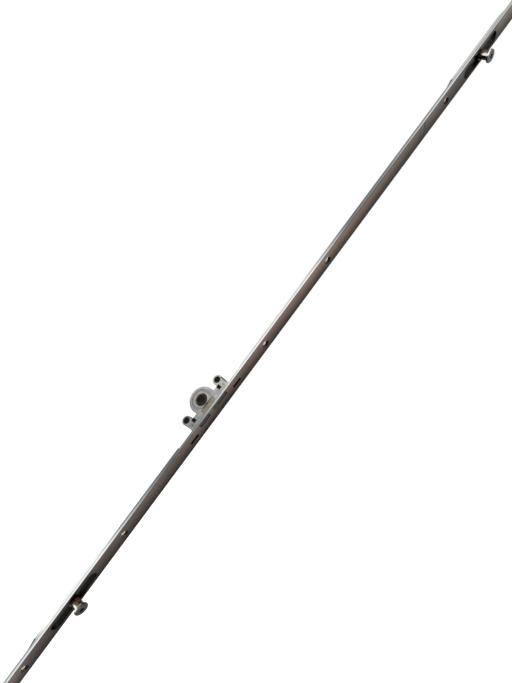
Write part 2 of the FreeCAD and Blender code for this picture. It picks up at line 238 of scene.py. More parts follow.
def reach_from(tree, place_z=0.0):
    """Measures how far a point lies from a bore's axis, which runs along Y at X = 0."""
    flat = vector_maths(tree, "MULTIPLY", piece_coordinate(tree), (1.0, 0.0, 1.0))
    offset = vector_maths(tree, "SUBTRACT", flat, (0.0, 0.0, place_z))
    return vector_maths(tree, "LENGTH", offset)


def inside_bore(tree, place_z, radius):
    """Is 1 within a radius of a bore's axis."""
    return maths(tree, "LESS_THAN", reach_from(tree, place_z), radius)


def facing(tree, axis, limit):
    """Is 1 where the normal's part along an axis passes the limit, on either side."""
    value = maths(tree, "ABSOLUTE", axis_of(tree, "Normal", axis))
    return maths(tree, "GREATER_THAN", value, limit)


def facing_front(tree):
    """Is 1 on faces that look the way the faceplate's front looks."""
    return maths(tree, "GREATER_THAN", axis_of(tree, "Normal", X_AXIS), 0.5)


def distance_along(tree, axis):
    """Measures how far a point lies from zero along an axis, on either side."""
    return maths(tree, "ABSOLUTE", axis_of(tree, "Object", axis))


print("masks ready")

# %% [markdown]
# ## The faceplate's cut edges
# The plate is cut from rolled, zinc-plated strip. Its sheared sides and its back stay bright,
# with stretches of painted dark reflection and a painted shade line along the back corner, and
# the walls of its slots are painted black as shade. The stretches follow a ramp along the whole
# bar, because they drift slowly and have no pattern that noise could repeat.

# %% Colour the plate's edges
EDGE_BRIGHT = (0.86, 0.89, 0.88)
EDGE_REFLECTED_DARK = (0.125, 0.140, 0.152)
EDGE_SHADOW = (0.050, 0.056, 0.060)
SLOT_SHADE = (0.020, 0.017, 0.015)
CAM_SLOT_SHADE = (0.052, 0.045, 0.042)
CAM_SLOT_REACH = 28 * MM
CAM_SLOT_SOFT = 0.5 * MM
SIDE_SKIN = 0.5 * MM
BACK_SKIN = 0.02 * MM
CORNER_SHADE_LINE = (0.40 * MM, 0.65 * MM)
CORNER_SHADE_SHARE = 0.55
BAR_SPAN = (-0.28, 0.52)
SIDE_REFLECTION_STRETCHES = [(0.05, 0.30), (0.17, 0.12), (0.20, 0.45), (0.25, 0.85), (0.28, 1.0), (0.33, 0.85),
                  (0.40, 0.0), (0.53, 0.0), (0.60, 0.90), (0.67, 0.80), (0.79, 0.25), (0.86, 0.5)]


def along_bar(tree):
    return fade(tree, axis_of(tree, "Object", Z_AXIS), *BAR_SPAN)


def painted_reflection_stretches(tree, stretches):
    """Is 1 on the stretches along the bar where a dark reflection is painted."""
    return ramp(tree, along_bar(tree), [(position, grey(amount)) for position, amount in stretches])


def by_cam_slots(tree):
    """Is 1 along the two cam slots."""
    by_cams = 0.0
    for place in cam_place.values():
        low, high = place - CAM_SLOT_REACH, place + CAM_SLOT_REACH
        near_cam = inside_band(tree, Z_AXIS, low, high, CAM_SLOT_SOFT)
        by_cams = maths(tree, "MAXIMUM", by_cams, near_cam)
    return by_cams


def edge_colour(tree):
    """Colours the plate's sheared sides, the painted shade line along their back corner, and its back.
    """
    depth = axis_of(tree, "Object", X_AXIS)
    outer = maths(tree, "GREATER_THAN", distance_along(tree, Y_AXIS), plate_side - SIDE_SKIN)
    back = maths(tree, "LESS_THAN", depth, plate_back + BACK_SKIN)
    # The sides and back carry painted dark reflection in stretches along the bar.
    plain = mix(tree, painted_reflection_stretches(tree, SIDE_REFLECTION_STRETCHES), EDGE_BRIGHT, EDGE_REFLECTED_DARK)
    # Painted shade: a dark line along the sides' back corner.
    start, end = (plate_back + edge for edge in CORNER_SHADE_LINE)
    corner = fade(tree, depth, start, end, CORNER_SHADE_SHARE, 0.0)
    # The slot walls are painted dark as shade, a little less dark along the cam slots.
    punched = mix(tree, by_cam_slots(tree), SLOT_SHADE, CAM_SLOT_SHADE)
    walls = mix(tree, outer, punched, mix(tree, corner, plain, EDGE_SHADOW))
    return mix(tree, back, walls, plain)


print("plate edges have", len(SIDE_REFLECTION_STRETCHES), "tones along the bar")

# %% [markdown]
# ## Painted shade round the openings, and two streaks
# On the front, the rims of the lug windows and the thin slots are painted black as shade. Each
# rim is a rectangle a little larger than its opening, so a few distances draw all six without
# any extra piece. Two bluish streaks slant across the front below the upper cam. They are bands
# like the others, measured along a line that is tilted by adding a share of Y to Z.

# %% Draw the rims and the streaks
LUG_MIDDLE_Z = 11.6 * MM
LUG_MIDDLE_Y = 5.05 * MM
WINDOW_RIM = (LUG_MIDDLE_Z, LUG_MIDDLE_Y, 6.4 * MM, 2.2 * MM)
THIN_SLOT_RIM = (29.5 * MM, 0.0, 5.05 * MM, 1.5 * MM)
RIM_FADE = 0.1 * MM
BLUE_STREAKS = [(305.2 * MM, 306.4 * MM), (311.1 * MM, 313.7 * MM)]
STREAK_SOFT = 0.7 * MM
STREAK_SLANT = 0.375
STREAK_BLUE = (0.36, 0.58, 0.86)


def rims(tree):
    """Is 1 in the painted shade line round each of the four lug windows and the two thin slots."""
    along = distance_along(tree, Z_AXIS)
    across = distance_along(tree, Y_AXIS)
    rim = 0.0
    for middle_z, middle_y, reach_z, reach_y in (WINDOW_RIM, THIN_SLOT_RIM):
        from_z = maths(tree, "ABSOLUTE", maths(tree, "SUBTRACT", along, middle_z))
        from_y = maths(tree, "ABSOLUTE", maths(tree, "SUBTRACT", across, middle_y))
        near_z = fade(tree, from_z, reach_z + RIM_FADE, reach_z)
        near_y = fade(tree, from_y, reach_y + RIM_FADE, reach_y)
        rim = maths(tree, "MAXIMUM", rim, maths(tree, "MULTIPLY", near_z, near_y))
    return rim


def blue_streaks(tree):
    """Is 1 in the two slanted streaks that cross the front."""
    slant = maths(tree, "MULTIPLY", axis_of(tree, "Object", Y_AXIS), STREAK_SLANT)
    place = maths(tree, "ADD", axis_of(tree, "Object", Z_AXIS), slant)
    streak = 0.0
    for low, high in BLUE_STREAKS:
        streak = maths(tree, "MAXIMUM", streak, between(tree, place, low, high, STREAK_SOFT))
    return streak


print("rims and", len(BLUE_STREAKS), "streaks ready")

# %% [markdown]
# ## The faceplate's film
# The broad front has a dull warm film with faint streaks along the rolling direction and soft
# clouds. It has painted light towards the near edge and painted shade towards the far edge and
# on its bevels, it is darkest beside the cams, and a painted reflection tone drifts along the bar.
# A dark smudge crosses the near half of the front by the gearbox. One colour is built up in
# layers, each mixed over or multiplied into the last, as a painter glazes, because then every
# layer can be judged and changed alone.

# %% Make the plate's finish
FILM_DARK = (0.235, 0.195, 0.175)
FILM_WARM = (0.345, 0.285, 0.250)
FILM_OLIVE = (0.270, 0.240, 0.175)
NEAR_PAINTED_LIGHT = (1.62, 1.63, 1.66)
FAR_PAINTED_SHADE = (0.085, 0.068, 0.064)
SHADING_CURVE = 0.7
FILM_REFLECTION_TONES = [(0.02, (1.10, 1.09, 1.14)), (0.05, (0.70, 0.64, 0.68)), (0.19, (0.87, 0.83, 0.80)),
                  (0.38, (1.10, 1.00, 0.98)), (0.47, (1.40, 1.24, 1.18)), (0.61, (1.20, 1.07, 0.93)),
                  (0.73, (0.94, 0.90, 0.85)), (0.77, (0.98, 0.95, 0.91)), (0.81, (0.76, 0.77, 0.75)),
                  (0.845, (1.04, 1.04, 1.00)), (0.90, (1.18, 1.18, 1.14))]
CAM_TONES = {"lower": (0.34, 0.31, 0.31), "upper": (0.58, 0.56, 0.56)}
CAM_TONE_REACH = 26 * MM
CAM_TONE_SOFT = 6 * MM
SMUDGE = (0.085, 0.085, 0.070)
SMUDGE_BAND = (0.6 * MM, 4.4 * MM, 1.8 * MM)
SMUDGE_SHARE = 0.9
NEAR_HALF = (0.62, 0.30)
BEVEL_SHADE = (0.060, 0.052, 0.048)


def reflection_tones_along(tree, film):
    """Paints a reflection tone that drifts along the bar, and darkens the film by the cams."""
    # The tone along the bar is a painted reflection.
    film = tint(tree, film, ramp(tree, along_bar(tree), FILM_REFLECTION_TONES))
    for name, tone in CAM_TONES.items():
        low, high = cam_place[name] - CAM_TONE_REACH, cam_place[name] + CAM_TONE_REACH
        by_cam = inside_band(tree, Z_AXIS, low, high, CAM_TONE_SOFT)
        film = tint(tree, film, mix(tree, by_cam, grey(1.0), tone))
    return film


def clouded_film(tree, clouds, streaks):
    """Mixes the film's warm, dark and olive patches and draws the rolling streaks over them."""
    patches = noise(tree, 60.0, (2.5, 2.5, 0.25), 2.0)
    film = ramp(tree, clouds, [(0.36, FILM_DARK), (0.62, FILM_WARM)])
    film = mix(tree, ramp(tree, patches, [(0.54, grey(0.0)), (0.72, grey(0.7))]), film, FILM_OLIVE)
    rolled = ramp(tree, streaks, [(0.30, grey(0.70)), (0.70, grey(1.0))])
    return mix(tree, 0.5, film, rolled, "MULTIPLY")


def plate_finish():
    material, tree, surface = new_finish("rolled_zinc_film", FILM_WARM, 1.0, 0.36)
    streaks = noise(tree, 900.0, (1.0, 1.0, 0.012), 5.0)
    clouds = noise(tree, 26.0, (1.0, 1.0, 0.7), 3.0)
    across = fade(tree, axis_of(tree, "Object", Y_AXIS), -plate_side, plate_side)
    # Painted light towards the near edge, and painted shade towards the far edge.
    shading = mix(tree, maths(tree, "POWER", across, SHADING_CURVE), NEAR_PAINTED_LIGHT, FAR_PAINTED_SHADE)
    film = reflection_tones_along(tree, tint(tree, clouded_film(tree, clouds, streaks), shading))
    by_gearbox = inside_band(tree, Z_AXIS, *SMUDGE_BAND)
    smudge = maths(tree, "MULTIPLY", by_gearbox, fade(tree, across, *NEAR_HALF))
    film = mix(tree, maths(tree, "MULTIPLY", smudge, SMUDGE_SHARE), film, SMUDGE)
    film = mix(tree, blue_streaks(tree), film, tint(tree, film, STREAK_BLUE))
    # Painted shade: the rims round the openings.
    film = mix(tree, rims(tree), film, SLOT_SHADE)
    # Painted shade on the bevels.
    film = mix(tree, facing(tree, Y_AXIS, 0.4), film, BEVEL_SHADE)
    colour = mix(tree, facing_front(tree), edge_colour(tree), film)
    connect(tree, colour, surface.inputs["Base Color"])
    connect(tree, fade(tree, clouds, 0.3, 0.7, 0.32, 0.44), surface.inputs["Roughness"])
    bump(tree, surface, streaks, 0.16, 0.1 * MM)
    return material


dress(plate_finish(), "faceplate")
print("faceplate dressed")

# %% [markdown]
# ## Painted shade and dirt on the die casting
# Painted shade lies in the shallow groove round the boss and along the straight flanks of the
# ears, and dirt lies in the thin seams round the black shoes. A mask that looks for hollow corners
# would darken every corner alike, so each of these marks has a mask of its own, by position.

# %% Masks for the casing's painted shade and dirt
GROOVE_INNER = (7.9 * MM, 8.4 * MM)
GROOVE_OUTER = (9.9 * MM, 9.5 * MM)
GROOVE_BEHIND = (4.7 * MM, 0.7 * MM)
FLANK_X = (1.4 * MM, 9.2 * MM, 0.5 * MM)
FLANK_Z = (24.6 * MM, 25.9 * MM, 0.12 * MM)
INNER_FLANK_X = (-2.6 * MM, 3.4 * MM, 0.5 * MM)
INNER_FLANK_Z = (17.0 * MM, 17.7 * MM, 0.15 * MM)
INNER_SHADE = 0.6
SEAM = 0.24 * MM
SEAM_FADE = 0.03 * MM
SHOE_HEIGHT = 3.7 * MM
SHOES = ("guide_shoe_upper", "guide_shoe_lower")


def groove_shade_ring(tree):
    """Is 1 in the shallow groove round the boss, on the side away from the plate, where shade is
    painted.
    """
    reach = reach_from(tree)
    rise = fade(tree, reach, *GROOVE_INNER)
    fall = fade(tree, reach, *GROOVE_OUTER)
    behind = fade(tree, axis_of(tree, "Object", X_AXIS), *GROOVE_BEHIND)
    return maths(tree, "MULTIPLY", maths(tree, "MULTIPLY", rise, fall), behind)


def flank_shade(tree):
    """Is 1 where shade is painted along the straight flanks of the ears."""
    outer = maths(tree, "MULTIPLY", inside_band(tree, X_AXIS, *FLANK_X),
                  inside_band(tree, Z_AXIS, *FLANK_Z))
    both_ears = between(tree, distance_along(tree, Z_AXIS), *INNER_FLANK_Z)
    inner = maths(tree, "MULTIPLY", both_ears, inside_band(tree, X_AXIS, *INNER_FLANK_X))
    return maths(tree, "MAXIMUM", outer, maths(tree, "MULTIPLY", inner, INNER_SHADE))


def shoe_seams(tree):
    """Is 1 in the thin seam round each black shoe."""
    seam = 0.0
    for name in SHOES:
        low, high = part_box(name)
        across = inside_band(tree, X_AXIS, low[0] - SEAM, low[0] + SHOE_HEIGHT + SEAM, SEAM_FADE)
        along = inside_band(tree, Z_AXIS, low[2] - SEAM, high[2] + SEAM, SEAM_FADE)
        seam = maths(tree, "MAXIMUM", seam, maths(tree, "MULTIPLY", across, along))
    return seam


print("casing dirt ready")

# %% [markdown]
# ## Painted shade in the casing's bores
# The bore walls are painted dark as shade, brown at the mouth and black further in, and a narrow
# rim of painted shade lies round the ears' holes. Depth is read along Y, since all three bores
# run that way, so one painted shade serves them all.

# %% Paint shade in the bores
BORE_WALL_SHADE = (0.022, 0.016, 0.012)
BORE_BROWN = (0.13, 0.075, 0.050)
BORE_DEEP_SHADE = (0.008, 0.006, 0.006)
BORE_DEPTHS = (-4.7 * MM, -1.7 * MM)
BORE_REACH = 5.6 * MM
CAST_GRIME_AND_SHADE = (0.045, 0.030, 0.026)
EAR_RIM = 0.45 * MM
EAR_WALL = 0.1 * MM


def shaded_bores(tree, colour):
    """Paints shade on the walls of the three bores and on the rims of the ears' holes."""
    wall = inside_bore(tree, 0.0, BORE_REACH)
    for place in (-ear_place, ear_place):
        wall = maths(tree, "MAXIMUM", wall, inside_bore(tree, place, ear_bore + EAR_WALL))
        # A rim of painted shade round each ear's hole.
        colour = mix(tree, inside_bore(tree, place, ear_bore + EAR_RIM), colour, CAST_GRIME_AND_SHADE)
    sideways = maths(tree, "SUBTRACT", 1.0, facing(tree, Y_AXIS, 0.5))
    # The bore walls are painted shade, brown at the mouth and black further in.
    mouth = mix(tree, fade(tree, axis_of(tree, "Normal", X_AXIS), 0.1, 0.9), BORE_WALL_SHADE, BORE_BROWN)
    deep = fade(tree, axis_of(tree, "Object", Y_AXIS), *BORE_DEPTHS)
    bore_shade = mix(tree, deep, mouth, BORE_DEEP_SHADE)
    return mix(tree, maths(tree, "MULTIPLY", wall, sideways), colour, bore_shade)


print("ear bores are", round(2 * ear_bore / MM, 2), "mm wide")

# %% [markdown]
# ## Die-cast zinc
# The casing halves come out of a mould, so their skin is matte, slightly grainy and blotchy
# with warm and cool patches, and it has no direction to it. It is a little darker towards the
# lower ear, and the shallow recess keeps a beige tarnish. The lug ends in the faceplate's
# windows are dull where they were pressed over, and the far row has painted shade, darker than
# the near one. Plain noise, which isn't squeezed along any axis, gives both the blotches and the
# grain.

# %% Make the casing's finish
CAST_PALE = (0.52, 0.50, 0.47)
CAST_WARM = (0.56, 0.50, 0.41)
CAST_GREY = (0.33, 0.335, 0.345)
CAST_TARNISH = (0.25, 0.21, 0.145)
CAST_SHADE = (0.22, 0.23, 0.25)
CAST_LOW_END = (0.64, 0.66, 0.67)
CAST_HIGH_END = (1.14, 1.14, 1.14)
LUG_DULL = (0.19, 0.175, 0.16)
LUG_DARK = (0.06, 0.052, 0.047)
LUG_FAR_SHADE = 0.22
LUG_START = 0.4 * MM
GROOVE_SHARE = 0.65
RECESS_X = (5.9 * MM, 10.6 * MM, 0.1 * MM)
RECESS_Z = (-7.85 * MM, 7.85 * MM, 0.1 * MM)


def recess_tarnish(tree):
    """Is up to 1 in the shallow recess, and weaker where the tarnish is worn."""
    recess = maths(tree, "MULTIPLY", inside_band(tree, X_AXIS, *RECESS_X),
                   inside_band(tree, Z_AXIS, *RECESS_Z))
    worn = ramp(tree, noise(tree, 700.0, detail=2.0), [(0.35, grey(1.0)), (0.65, grey(0.55))])
    return maths(tree, "MULTIPLY", recess, worn)


def pressed_lugs(tree, colour, blotches):
    """Dulls the lug ends, and paints shade on those on the far side."""
    lug = maths(tree, "GREATER_THAN", axis_of(tree, "Object", X_AXIS), plate_back + LUG_START)
    pressed = mix(tree, blotches, LUG_DULL, LUG_DARK)
    across = fade(tree, axis_of(tree, "Object", Y_AXIS), -plate_side, plate_side)
    # Painted shade on the far row of lugs.
    pressed = tint(tree, pressed, mix(tree, across, grey(1.0), grey(LUG_FAR_SHADE)))
    return mix(tree, lug, colour, pressed)


def casting_finish():
    material, tree, surface = new_finish("cast_zinc", CAST_PALE, 0.55, 0.52)
    blotches = noise(tree, 190.0)
    colour = ramp(tree, blotches, [(0.36, CAST_GREY), (0.60, CAST_PALE)])
    warm = ramp(tree, noise(tree, 120.0, detail=3.0), [(0.50, grey(0.0)), (0.66, grey(0.8))])
    colour = mix(tree, warm, colour, CAST_WARM)
    height = fade(tree, axis_of(tree, "Object", Z_AXIS), -ear_place, ear_place)
    colour = tint(tree, colour, mix(tree, height, CAST_LOW_END, CAST_HIGH_END))
    colour = mix(tree, recess_tarnish(tree), colour, CAST_TARNISH)
    # Painted shade in the groove round the boss.
    groove = maths(tree, "MULTIPLY", groove_shade_ring(tree), GROOVE_SHARE)
    colour = mix(tree, groove, colour, CAST_SHADE)
    # Painted shade on the ears' flanks, and dirt in the shoes' seams.
    dirt_and_shade = maths(tree, "MAXIMUM", flank_shade(tree), shoe_seams(tree))
    colour = shaded_bores(tree, mix(tree, dirt_and_shade, colour, CAST_GRIME_AND_SHADE))
    connect(tree, pressed_lugs(tree, colour, blotches), surface.inputs["Base Color"])
    bump(tree, surface, noise(tree, 2600.0, detail=3.0), 0.35, 0.08 * MM)
    return material


cast_zinc = casting_finish()
dress(cast_zinc, "casing_front", "casing_back")
print("casing halves dressed")

# %% [markdown]
# ## Rods and carriers
# The rods and the plates behind each cam are plated like the faceplate's edges. Nobody handles
# them, so they keep a pale shine with light rolling lines, between stretches of painted dark
# reflection, and each carrier's lower bevelled end has the darkest painted shade. Their front
# rubs on the faceplate and is painted nearly black as shade, with lighter scratches along it and
# one greyer painted reflection track that shows through the cam slots. The helper for the
# faceplate's painted reflection stretches serves here again, with stops of its own.

# %% Make the rods' finish
ROD_PALE = (0.90, 0.90, 0.85)
ROD_COOL = (0.72, 0.74, 0.76)
ROD_REFLECTION_STRETCHES = [(0.06, 0.85), (0.08, 0.05), (0.16, 0.1), (0.20, 0.95), (0.31, 1.0), (0.40, 0.0),
                 (0.50, 0.05), (0.56, 0.7), (0.61, 1.0), (0.79, 0.8), (0.815, 0.35), (0.90, 0.5)]
CARRIERS = ("carrier_upper", "carrier_lower")
DARK_END = 10.5 * MM
DARK_END_SOFT = 0.8 * MM
CARRIER_END_SHADE = (0.045, 0.050, 0.070)
ROD_FRONT_SHADE = (0.120, 0.112, 0.108)
ROD_RUBBED = (0.38, 0.38, 0.38)
ROD_SHADE_FACTOR = 0.30
REFLECTED_TRACK = (2.7 * MM, 5.2 * MM, 0.7 * MM)


def shaded_bevelled_ends(tree):
    """Is 1 on the lower bevelled end of each carrier, where shade is painted."""
    ends = 0.0
    for name in CARRIERS:
        low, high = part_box(name)
        end = inside_band(tree, Z_AXIS, low[2], low[2] + DARK_END, DARK_END_SOFT)
        behind = maths(tree, "LESS_THAN", axis_of(tree, "Object", X_AXIS), high[0])
        ends = maths(tree, "MAXIMUM", ends, maths(tree, "MULTIPLY", end, behind))
    return ends


def shaded_front(tree, lines):
    """Colours the rods' front with painted shade, nearly black with scratches, and one greyer painted
    reflection track.
    """
    scratches = ramp(tree, lines, [(0.50, grey(0.0)), (0.72, grey(0.8))])
    # The front is painted dark as shade, and one track is a greyer painted reflection.
    reflected_track = inside_band(tree, Y_AXIS, *REFLECTED_TRACK)
    shade = mix(tree, reflected_track, grey(ROD_SHADE_FACTOR), grey(1.0))
    return tint(tree, mix(tree, scratches, ROD_FRONT_SHADE, ROD_RUBBED), shade)


def rod_finish():
    material, tree, surface = new_finish("bright_rod_steel", ROD_PALE, 1.0, 0.28)
    clouds = noise(tree, 35.0, (1.0, 1.0, 0.6), 3.0)
    pale = ramp(tree, clouds, [(0.3, ROD_COOL), (0.65, ROD_PALE)])
    pale = mix(tree, painted_reflection_stretches(tree, ROD_REFLECTION_STRETCHES), pale, EDGE_REFLECTED_DARK)
    # Painted shade on each carrier's bevelled end.
    pale = mix(tree, shaded_bevelled_ends(tree), pale, CARRIER_END_SHADE)
    lines = noise(tree, 1100.0, (1.0, 1.0, 0.012), 4.0)
    colour = mix(tree, facing_front(tree), pale, shaded_front(tree, lines))
    connect(tree, colour, surface.inputs["Base Color"])
    bump(tree, surface, lines, 0.12, 0.1 * MM)
    return material


dress(rod_finish(), "rack", "rod_upper", "rod_lower", *CARRIERS)
print("rods and carriers dressed")

# %% [markdown]
# ## Rivets and washers
# The rivets and the washers under the studs are plain steel with dark specks, and the rivet
# heads in front carry the same painted shade as the rods round them. Noise that isn't squeezed
# gives the specks, and the same noise makes the steel a little uneven there, so that colour and
# relief agree.

# %% Make the rivets' finish
RIVET_STEEL = (0.60, 0.60, 0.58)
RIVET_SPECK = (0.38, 0.37, 0.35)
RIVET_CLEAN = (0.64, 0.64, 0.62)
RIVET_FRONT_SHADE = (0.045, 0.040, 0.038)


def rivet_finish():
    material, tree, surface = new_finish("rivet_steel", RIVET_STEEL, 1.0, 0.34)
    spots = noise(tree, 900.0, detail=3.0)
    clean = ramp(tree, spots, [(0.35, RIVET_SPECK), (0.65, RIVET_CLEAN)])
    # Painted shade on the rivet heads' fronts.
    colour = mix(tree, facing_front(tree), clean, RIVET_FRONT_SHADE)
    connect(tree, colour, surface.inputs["Base Color"])
    bump(tree, surface, spots, 0.2, 0.1 * MM)
    return material


dress(rivet_finish(), "rack_rivets", "carrier_rivets", "cam_washer_upper", "cam_washer_lower")
print("rivets and washers dressed")

# %% [markdown]
# ## The painted reflection strip
# The sides of the cams and their rollers carry a painted reflection: a dark brown coat with one
# bright strip. The strip is chosen by the direction that the surface faces, which holds for a
# round piece of any size. It widens towards the head and has painted shade next to the
# faceplate. A thin painted highlight lies on the back corner of each head's rim.

# %% Draw the painted reflection strip
STRIP_WIDENS = (3.0 * MM, 5.2 * MM)
STRIP_WIDENING = 0.30
STRIP_END = -0.6
SHADE_BY_PLATE = (3.6 * MM, 2.2 * MM)
SHADE_BY_PLATE_TONE = (0.60, 0.46, 0.40)
RIM_DEPTH = 0.9 * MM
RIM_SOFT = 0.1 * MM


def above_plate(tree, start, end):
    """Goes from 0 to 1 while the height above the plate's front goes from start to end."""
    return fade(tree, axis_of(tree, "Object", X_AXIS), plate_front + start, plate_front + end)


def reflected_sides(tree, stops, direction):
    """Paints a reflection on a turned side by how far it faces a direction, and gives its place on the
    ramp.
    """
    # The colour is a painted reflection, chosen by the direction the surface faces.
    turn = vector_maths(tree, "DOT_PRODUCT", piece_coordinate(tree, "Normal"), direction)
    uneven = fade(tree, noise(tree, 500.0, (0.25, 1.0, 1.0), 2.0), 0.3, 0.7, -0.10, 0.10)
    widening = maths(tree, "MULTIPLY", above_plate(tree, *STRIP_WIDENS), STRIP_WIDENING)
    shifted = maths(tree, "SUBTRACT", turn, widening)
    turn = maths(tree, "MAXIMUM", shifted, maths(tree, "MINIMUM", turn, STRIP_END))
    place = fade(tree, maths(tree, "ADD", turn, uneven), -1.0, 1.0)
    strip = ramp(tree, place, stops)
    # Painted shade next to the faceplate.
    colour = mix(tree, above_plate(tree, *SHADE_BY_PLATE), strip, tint(tree, strip, SHADE_BY_PLATE_TONE))
    return colour, place


def rim_glint(tree):
    """Is 1 on the back corner of a head's rim, on its near side, where a highlight is painted."""
    head_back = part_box("cam_roller_lower")[1][0]
    corner = inside_band(tree, X_AXIS, head_back, head_back + RIM_DEPTH, RIM_SOFT)
    near = fade(tree, axis_of(tree, "Normal", Y_AXIS), -0.45, -0.75)
    return maths(tree, "MULTIPLY", corner, near)


print("strip and glint ready")

# %% [markdown]
# ## Cams and rollers
# Cams and rollers come off a lathe, which leaves fine lines round the axis. Their noise is
# squeezed in Y and Z, so that it changes quickly along X only. The two studs are a shaded and a
# lit copy of one steel: the lower face is painted darker as shade and the upper one lighter as
# lit. The lower roller has the wider painted reflection strip, and the upper one's is turned
# towards the near side. Beyond the strip, the rollers' film is a brown coat that is barely
# metallic. Each of the four pieces has a finish of its own for that, and one function makes them
# all.

# %% Make the cams' and rollers' finishes
# Stops of the painted reflection: dark, a bright strip, then brown.
PAINTED_REFLECTION_STRIP = [(0.10, (0.028, 0.026, 0.028)), (0.17, (0.95, 0.94, 0.91)),
                (0.38, (0.66, 0.62, 0.56)), (0.47, (0.17, 0.115, 0.085)),
                (0.62, (0.080, 0.052, 0.040)), (0.90, (0.050, 0.036, 0.030))]
WIDE_STRIP = PAINTED_REFLECTION_STRIP[:5] + [(0.76, (0.080, 0.056, 0.044)), (0.86, (0.115, 0.078, 0.060))]
NARROW_STRIP = [(0.26, (0.028, 0.026, 0.028)), (0.31, (0.74, 0.74, 0.72)),
                (0.52, (0.60, 0.57, 0.50)), (0.60, (0.14, 0.115, 0.09)),
                (0.75, (0.075, 0.058, 0.045)), (0.90, (0.10, 0.08, 0.062))]
UPWARDS = (0.0, 0.0, 1.0)
UP_AND_NEAR = (0.0, -0.70, 0.716)
FILM_METAL = 0.15
FILM_FADE = 0.07
FACE_PALE = (0.150, 0.140, 0.122)
FACE_DARKER = (0.068, 0.060, 0.052)
FACE_LIT = (0.270, 0.255, 0.235)
FACE_GREY = (0.150, 0.140, 0.130)
RIM_HIGHLIGHT = (0.78, 0.76, 0.71)
STUD_ROUGHNESS = 0.26
ROLLER_ROUGHNESS = 0.12
# The lower stud is the shaded copy and the upper one the lit copy.
STUD_LOOKS = {"lower": ("shaded_stud_steel", (FACE_PALE, FACE_DARKER)),
              "upper": ("lit_stud_steel", (FACE_LIT, FACE_GREY))}
ROLLER_LOOKS = {"lower": (WIDE_STRIP, UPWARDS, 0.76),
                "upper": (NARROW_STRIP, UP_AND_NEAR, 0.70)}


def lathe_lines(tree, surface, strength, depth):
    """Gives a surface fine lines round an axis along X."""
    bump(tree, surface, noise(tree, 4200.0, (1.0, 0.05, 0.05), 2.0), strength, depth)


def turned_finish(name, roughness, facing_colours, stops, direction=UPWARDS, film_start=None):
    """Steel that is metallic until the dull brown coat beyond the painted reflection strip starts."""
    pale, darker_tone = facing_colours
    material, tree, surface = new_finish(name, pale, 1.0, roughness)
    faces = ramp(tree, noise(tree, 260.0, detail=3.0), [(0.40, pale), (0.70, darker_tone)])
    sides, place = reflected_sides(tree, stops, direction)
    if film_start:
        metal = fade(tree, place, film_start, film_start + FILM_FADE, 1.0, FILM_METAL)
        connect(tree, metal, surface.inputs["Metallic"])
    colour = mix(tree, facing(tree, X_AXIS, 0.5), sides, faces)
    # Painted highlight on the back corner of the head's rim.
    colour = mix(tree, rim_glint(tree), colour, RIM_HIGHLIGHT)
    connect(tree, colour, surface.inputs["Base Color"])
    lathe_lines(tree, surface, 0.08, 0.06 * MM)
    return material


stud_steel = {}
for name, (finish, face) in STUD_LOOKS.items():
    stud_steel[name] = turned_finish(finish, STUD_ROUGHNESS, face, PAINTED_REFLECTION_STRIP)
    dress(stud_steel[name], "cam_stud_" + name)
for name, strip in ROLLER_LOOKS.items():
    face = (FACE_PALE, FACE_DARKER)
    steel = turned_finish("turned_roller_steel_" + name, ROLLER_ROUGHNESS, face, *strip)
    dress(steel, "cam_roller_" + name)
print("cams and rollers dressed")

# %% [markdown]
# ## Screw sleeves
# The thin sleeves in the countersunk holes are polished inside. Their flared mouths are painted
# dark as shade, with painted reflection browner downwards and palest at the very bottom. The
# flare and the bore are one mesh, so depth below the plate's front tells them apart, and the
# direction of the surface tells top from bottom.

# %% Make the sleeves' finish
BORE_POLISH = (0.92, 0.91, 0.88)
FLARE_SHADE = (0.018, 0.016, 0.015)
FLARE_BROWN = (0.125, 0.083, 0.056)
FLARE_PALE = (0.42, 0.38, 0.32)
FLARE_DEPTH = 1.95 * MM
FLARE_SHADE_AND_REFLECTION = [(0.10, FLARE_SHADE), (0.40, FLARE_BROWN), (0.80, FLARE_BROWN), (0.95, FLARE_PALE)]


def sleeve_finish():
    material, tree, surface = new_finish("turned_sleeve_steel", BORE_POLISH, 1.0, 0.10)
    flare_patches = noise(tree, 420.0, detail=3.0)
    turn = maths(tree, "ADD", axis_of(tree, "Normal", Z_AXIS), fade(tree, flare_patches, 0.3, 0.7, -0.2, 0.2))
    polish = ramp(tree, flare_patches, [(0.35, BORE_POLISH), (0.75, grey(0.60))])
    deep = maths(tree, "LESS_THAN", axis_of(tree, "Object", X_AXIS), plate_front - FLARE_DEPTH)
    # Painted shade and reflection on the flare, by the direction it faces.
    colour = mix(tree, deep, ramp(tree, turn, FLARE_SHADE_AND_REFLECTION), polish)
    connect(tree, colour, surface.inputs["Base Color"])
    lathe_lines(tree, surface, 0.06, 0.05 * MM)
    return material


dress(sleeve_finish(), "screw_sleeves")
print("sleeves dressed")

# %% [markdown]
# ## The follower
# The follower is sintered steel, porous and dark with oil, so it swallows light in the bore.
# Only the outer rim of what shows there is brown, on the side away from the faceplate. A ring
# by distance from the axis and a fade along X mark it, and a coarse grain stands for the pores.

# %% Make the follower's finish
GEAR_OILED = (0.030, 0.026, 0.024)
GEAR_BLACK = (0.012, 0.011, 0.012)
GEAR_STAIN = (0.040, 0.026, 0.018)
GEAR_BROWN = (0.15, 0.095, 0.070)
GEAR_RIM = (4.3 * MM, 4.7 * MM)
GEAR_FAR_SIDE = (-0.5 * MM, -2.5 * MM)


